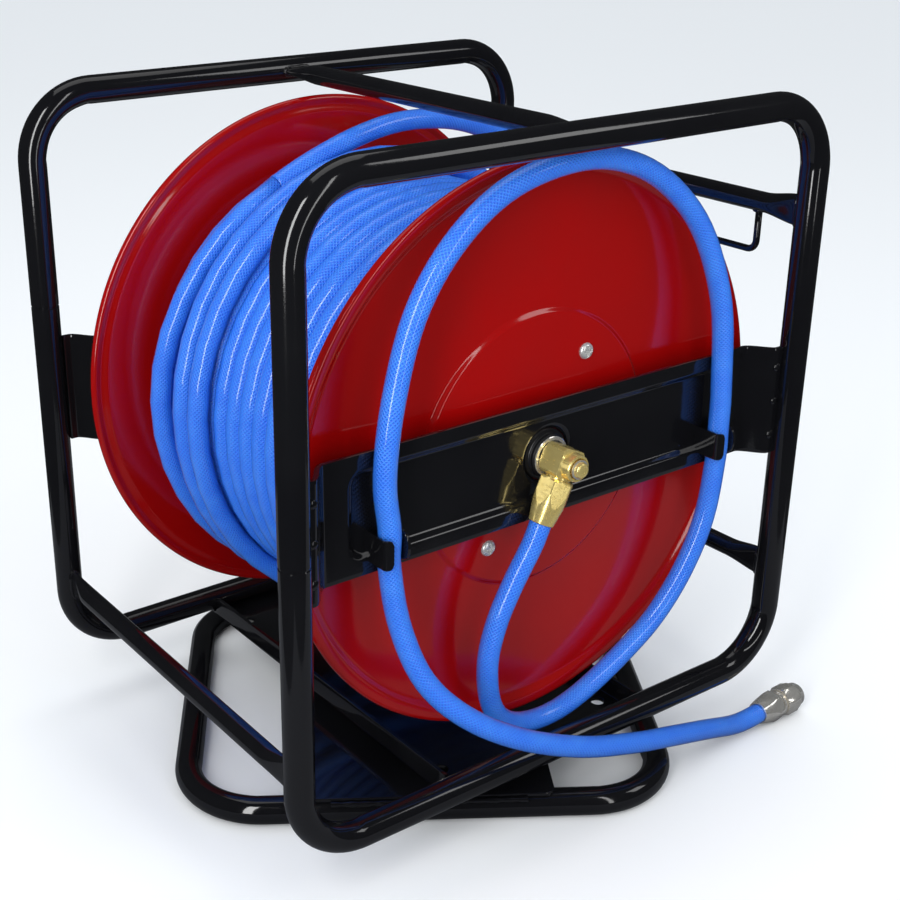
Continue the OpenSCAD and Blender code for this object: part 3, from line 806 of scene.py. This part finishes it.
def flattened_ring(middle, wide_way, thin_way, wide, thin, power, sides=40):
    """A ring between an ellipse, at power 2, and a rectangle with round corners."""
    ring = []
    for k in range(sides):
        c, q = on_circle(360 * k / sides)
        u = math.copysign(abs(c) ** (2 / power), c) * wide
        v = math.copysign(abs(q) ** (2 / power), q) * thin
        ring.append(middle + wide_way * u + thin_way * v)
    return ring


def make_cross_tubes():
    """Thin tubes between the loops, pressed flat at both ends, with a weld round each end."""
    half, flat_len, radius, flat_wide, flat_thin = 124.3, 24.0, 5.75, 9.0, 2.2
    stations = (0.0, 0.02, 0.06, 0.12, 0.2, 0.3, 0.4, 0.5, 0.6, 0.7, 0.8, 0.9, 1.0)
    for name, x, z, wide_way, thin_way in (
            ("cross_top", 0, AXIS_Z + LOOP_HALF, SIDEWAYS, UP),
            ("cross_upper_right", LOOP_HALF, 323, UP, SIDEWAYS),
            ("cross_lower_left", -LOOP_HALF, 86, UP, SIDEWAYS),
            ("cross_lower_right", LOOP_HALF, 103, UP, SIDEWAYS)):
        rings = []
        for end in (-1, 1):
            for t in (stations if end < 0 else reversed(stations)):
                squeeze = 1 - ease(t)
                middle = Vector((x, end * (half - flat_len * t), z))
                wide = radius + (flat_wide - radius) * squeeze
                thin = radius + (flat_thin - radius) * squeeze
                rings.append(flattened_ring(middle, wide_way, thin_way, wide, thin,
                                            2 + 0.8 * squeeze))
            weld_path = flattened_ring(Vector((x, end * (half - 0.5), z)), wide_way, thin_way,
                                       flat_wide - 0.1, flat_thin + 0.2, 2.8, 30)
            bead = weld_bead(f"{name}_weld_{'front' if end < 0 else 'back'}", weld_path, 1.2)
            finish_piece(bead, "frame_paint", "frame")
        finish_piece(ring_mesh(name + "_pipe", rings), "frame_paint", "frame", name)


def pan_depth(x, z):
    """How far the pan of a bracket is pressed in, with rounded walls."""
    half_w, half_h, corner_r, depth, wall = 132, 25, 10, 4.0, 4.5
    u = max(abs(x) - (half_w - corner_r), 0)
    v = max(abs(z) - (half_h - corner_r), 0)
    inside = corner_r - math.hypot(u, v)
    if u == 0 or v == 0:
        inside = min(half_w - abs(x), half_h - abs(z))
    return depth * ease(inside / wall)


def bracket_face(x, z):
    """Distance of a bracket's outer face from the middle of the drum."""
    jog_from, jog_width, jog_out = 145.5, 14.5, 13
    rim_width, rim_in = 3.4, 2.2
    jog = BORDER_Y + jog_out * ease((abs(x) - jog_from) / jog_width)
    from_hole = (math.hypot(x, z) - HUB_HOLE_R) / rim_width
    rolled = rim_in * (1 - from_hole) ** 2 if from_hole < 1 else 0
    return jog - pan_depth(x, z) - rolled


def make_brackets():
    half_h, end_x, thickness = 32.5, 164, 2.5
    side_steps = ((118, 134, 1), (134, 145, 3), (145, 161, 1), (161, end_x, 1.5))
    near = steps_of((24, 118, 6), *side_steps)
    xs = [-x for x in reversed(near)] + steps_of((-24, 24, 1))[1:-1] + near
    zs = steps_of((-half_h, -26, 2), (-26, -19, 0.75), (-19, 19, 1), (19, 26, 0.75),
                  (26, half_h, 2))
    for side, name in ((-1, "front_bracket"), (1, "back_bracket")):
        def place(x, z, side=side):
            return Vector((x, side * bracket_face(x, z), AXIS_Z + z))

        piece = sheet_metal(name + "_pressing", xs, zs, place, -thickness * side,
                            holes=[(0, 0, HUB_HOLE_R)])
        finish_piece(piece, "frame_paint", "frame", name)


def bent_strip(name, path, low, high, thickness, corner):
    """An upright strip along a level path of (x, y), with its far end's corners rounded."""
    points = [Vector((x, y, 0)) for x, y in path]
    left = [0.0]
    for a, b in zip(reversed(points), reversed(points[:-1])):
        left.append(left[-1] + (a - b).length)
    left.reverse()
    half_h, half_t, edge = (high - low) / 2, thickness / 2, 0.45
    rings = []
    for i, p in enumerate(points):
        way = (points[min(i + 1, len(points) - 1)] - points[max(i - 1, 0)]).normalized()
        out = Vector((-way.y, way.x, 0))
        reach = min(left[i], corner)
        short = corner - math.sqrt(max(corner ** 2 - (corner - reach) ** 2, 0))
        tall = half_h - short
        ring = []
        for u, v in ((-half_t, edge - tall), (edge - half_t, -tall), (half_t - edge, -tall),
                     (half_t, edge - tall), (half_t, tall - edge), (half_t - edge, tall),
                     (edge - half_t, tall), (-half_t, tall - edge)):
            ring.append(p + out * u + UP * ((low + high) / 2 + v))
        rings.append(ring)
    return ring_mesh(name, rings, crisp=40)


def make_clips():
    """A hook over the hose's left side and a straight tab on its right, at both places."""
    low, high, root_y, front_y, tab_y = 187, 203, -112.8, -131.8, -130.5
    hook_x, hook_end, tab_x = -7.4, -3.2, 7.6
    for name, x in (("left", -112), ("right", 122)):
        hook = rounded_path([(x + hook_x, root_y, 0), (x + hook_x, front_y, 0),
                             (x + hook_end, front_y, 0)], 2.4)
        hook = hook[:1] + smooth_steps(hook[1:], 1.2)
        tab = smooth_steps([Vector((x + tab_x, root_y, 0)), Vector((x + tab_x, tab_y, 0))], 0.8)
        finish_piece(bent_strip(name + "_clip_hook", [p.xy for p in hook], low, high, 1.8, 2.5),
                     "frame_paint", "frame")
        finish_piece(bent_strip(name + "_clip_tab", [p.xy for p in tab], low, high, 1.8, 5.5),
                     "frame_paint", "frame")


def smooth_steps(points, longest):
    """The same line with points no further apart than longest."""
    out = [points[0]]
    for a, b in zip(points, points[1:]):
        count = max(1, math.ceil((b - a).length / longest))
        out += [a.lerp(b, k / count) for k in range(1, count + 1)]
    return out


def make_weld_dots():
    """Spot welds, three up each end of both brackets."""
    rings, sides, dot_r, dot_out, face_y = 5, 16, 2.6, 1.1, 130.8
    verts, faces = [], []
    places = [(x, side, z) for side in (-1, 1) for x in (-160.5, 160.5) for z in (-21, 0, 21)]
    for number, (x, side, z) in enumerate(places):
        first = len(verts)
        for i in range(rings + 1):
            t = 90 * i / rings
            wide, proud = on_circle(t, 1.0)
            for k in range(sides):
                uneven = 1 + 0.1 * math.sin(number * 2.3 + 3 * k / sides)
                radius = max(dot_r * wide, 0.05) * uneven
                u, v = on_circle(360 * k / sides, radius)
                verts.append(Vector((x + u, side * (face_y + dot_out * proud), AXIS_Z + z + v)))
        faces += dome_faces(first, rings, sides)
    finish_piece(mesh_piece("bracket_weld_dots", verts, faces), "frame_paint", "frame")


def make_bushes():
    for side, name in ((-1, "front_bush"), (1, "back_bush")):
        outline = [(10.05, 110.5), (14.3, 110.5), (14.3, 111.7), (13.9, 112.1), (12.6, 112.2),
                   (12.3, 112.6), (12.3, 113.2), (11.9, 113.6), (10.6, 113.6), (10.05, 113.2)]
        finish_piece(turned(name + "_collar", outline, (0, 0, AXIS_Z), (0, side, 0)),
                     "nylon_black", "frame", name)


def make_bottom_plate():
    """A folded plate between the loops: a lip up each side and four mounting holes."""
    half, lip, bend_r, thickness, lip_reach, reach = 73, 14.5, 3.5, 2.5, 123, 132
    flat, bend_len = half - bend_r, bend_r * math.pi / 2
    whole = flat + bend_len + lip - bend_r
    right = steps_of((0, 53, 13), (53, 67, 1), (67, flat, 2.5), (flat, flat + bend_len, 0.8),
                     (flat + bend_len, whole, 3.5))
    us = [-u for u in reversed(right[1:])] + right
    vs = steps_of((-reach, -110, 5.5), (-110, -98, 1), (-98, 98, 19.6), (98, 110, 1),
                  (110, reach, 5.5))

    def place(u, v):
        bent = min(max(abs(u) - flat, 0), bend_len) / bend_r
        x = min(abs(u), flat) + bend_r * math.sin(bent)
        z = bend_r * (1 - math.cos(bent)) + max(abs(u) - flat - bend_len, 0)
        trim = 1 - (1 - lip_reach / reach) * ease(z / 5)
        return Vector((math.copysign(x, u), v * trim, BOTTOM_Z + z))

    holes = [(x, y, 4.0) for x in (-60, 60) for y in (-104, 104)]
    piece = sheet_metal("bottom_plate_pressing", us, vs, place, -thickness, holes=holes)
    finish_piece(piece, "frame_paint", "frame", "bottom_plate")


def make_hose_guide():
    """A bent wire under the upper right cross tube, with a blob of weld on each leg."""
    x, rod_z, top_z, half = LOOP_HALF, 294, 318.5, 97
    path = rounded_path([(x, -half, top_z), (x, -half, rod_z),
                         (x, half, rod_z), (x, half, top_z)], 6)
    wire = swept_tube("hose_guide_wire", path, 2, sides=20)
    finish_piece(wire, "frame_paint", "frame", "hose_guide")
    for side, name in ((-1, "front"), (1, "back")):
        circle = [Vector((x + u, side * half + v, top_z - 0.6))
                  for u, v in (on_circle(30 * k, 2.4) for k in range(12))]
        finish_piece(weld_bead(f"guide_weld_{name}", circle, 1.3), "frame_paint", "frame")


# ---------- floor loop and swivel ----------


def on_base(u, v, w):
    """A point of the floor loop, turned about the swivel axis."""
    c, q = on_circle(BASE_TURN)
    return Vector((u * c - v * q, u * q + v * c, w))


def make_base():
    width, depth, corner_r = 278, 238, 45
    loop = loop_tube("base_loop_tube", width, depth, corner_r,
                     lambda u, v, w: on_base(u, v, TUBE_R + w))
    finish_piece(loop, "frame_paint", "base", "base_loop")
    plate = slab("base_plate_sheet", rounded_rectangle(142, 250, 6), 16, 18.5, on_base, bevel=0.7)
    finish_piece(plate, "frame_paint", "base", "base_plate")
    for side, name in ((-1, "near"), (1, "far")):
        line = [on_base(u, side * 126.2, 15.6) for u in range(-56, 57, 3)]
        bead = weld_bead(f"base_weld_{name}", line, 1.6, around=False)
        finish_piece(bead, "frame_paint", "base")


def make_swivel():
    """Two steel rings with a nylon ring between, and the pivot bolt through them."""
    for name, low, high, radius, slot, body in (
            ("swivel_lower_ring", 18.5, 23.5, 45, "steel", "base"),
            ("swivel_slip_ring", 23.5, 25.45, 43, "nylon_white", "base"),
            ("swivel_upper_ring", 25.5, 30.5, 45, "steel", "frame")):
        edge = 0.4
        outline = [(6.3, low), (radius - edge, low), (radius, low + edge), (radius, high - edge),
                   (radius - edge, high), (6.3, high)]
        finish_piece(turned(name + "_disc", outline, (0, 0, 0), UP), slot, body, name)
    head = turned_bar("pivot_bolt_head", [(8.5, 9.4), (9.3, 10.9), (15.9, 10.95)], (0, 0, 0), UP,
                      flat=19, turn=3)
    finish_piece(head, "zinc", "base")
    thread = [(34 + 0.5 * k, 6.0 - 0.4 * (k % 2)) for k in range(29)]
    bolt = turned_bar("pivot_bolt_thread", [(15.8, 6.0)] + thread + [(48.9, 5.2)], (0, 0, 0), UP,
                      sides=48)
    finish_piece(bolt, "zinc", "base", "pivot_bolt")
    washer = turned("pivot_washer_disc", [(6.2, 33.05), (18.2, 33.05), (18.5, 33.4), (18.5, 35.2),
                                          (18.2, 35.55), (6.2, 35.55)], (0, 0, 0), UP)
    finish_piece(washer, "zinc", "base", "pivot_washer")
    nut = turned_bar("pivot_nut_body", [(35.6, 9.4), (36.3, 10.9), (43.8, 10.9), (44.7, 9.4),
                                        (44.8, 8.5), (47.2, 8.5), (47.6, 7.6), (47.4, 6.1)],
                     (0, 0, 0), UP, flat=19, turn=11)
    finish_piece(nut, "zinc", "base", "pivot_nut")


# ---------- crank ----------


def on_crank(u, v, w):
    """A point of the crank: u along the arm, v across it, w out of the back along Y."""
    c, q = on_circle(CRANK_TURN)
    return Vector((u * c - v * q, CRANK_Y + w, AXIS_Z + u * q + v * c))


def make_crank():
    outline = []
    for middle, turn in ((CRANK_R, -90), (0, 90)):
        for k in range(17):
            u, v = on_circle(turn + 180 * k / 16, 10)
            outline.append((middle + u, v))
    finish_piece(slab("crank_arm_bar", outline, -3, 2, on_crank, bevel=0.9), "frame_paint", "drum",
                 "crank_arm")
    axis, back = (0, 0, AXIS_Z), (0, 1, 0)
    washer = turned("crank_washer", [(6.2, 131.05), (11.7, 131.05), (12, 131.4), (12, 132.8),
                                     (11.7, 133.1), (6.2, 133.1)], axis, back)
    finish_piece(washer, "zinc", "drum")
    nut = turned_bar("crank_nut_hexagon", [(133.1, 9.4), (133.9, 10.9), (139.2, 10.9),
                                           (140.0, 9.4), (139.8, 6.2)], axis, back,
                     flat=19, turn=14)
    finish_piece(nut, "zinc", "drum", "crank_nut")
    pin_at = on_crank(CRANK_R, 0, -CRANK_Y)
    pin = turned_bar("crank_pin_body", [(123.1, 6.4), (123.5, 7), (125.6, 7), (126, 6.6),
                                        (126.1, 4), (162.9, 4), (163.0, 5.7), (163.3, 6),
                                        (164.2, 6), (164.9, 5.2), (165, 4)],
                     pin_at, back, sides=64)
    finish_piece(pin, "steel", "drum", "crank_pin")
    grip_outline = [(4.05, 131.5), (11.4, 131.5), (12, 132.1), (12, 136.0)]
    for middle_r, middle_y, arc_r, from_angle in ((11.5, 142.2, 5.5, -90), (9.0, 154.5, 8, 0)):
        for angle in range(from_angle, from_angle + 91, 10):
            u, v = on_circle(angle, arc_r)
            grip_outline.append((middle_r + u, middle_y + v))
    grip_outline += [(6.8, 162.5), (6.5, 161.8), (4.05, 161.8)]
    knob = turned("crank_knob", grip_outline, pin_at, back)
    finish_piece(knob, "nylon_black", "grip", "crank_grip")


# ---------- the scene ----------

materials = make_materials()
make_camera()
make_hoses()
make_flanges()
make_screws()
make_inlet()
make_loops()
make_cross_tubes()
make_brackets()
make_clips()
make_weld_dots()
make_bushes()
make_bottom_plate()
make_hose_guide()
make_base()
make_swivel()
make_crank()
make_studio()

slot_of = {part["node"]: part["material_slot"] for part in frame["record"]["subparts"]}
for name, piece in nodes.items():
    piece.data.materials.clear()
    piece.data.materials.append(materials[slot_of[name]])
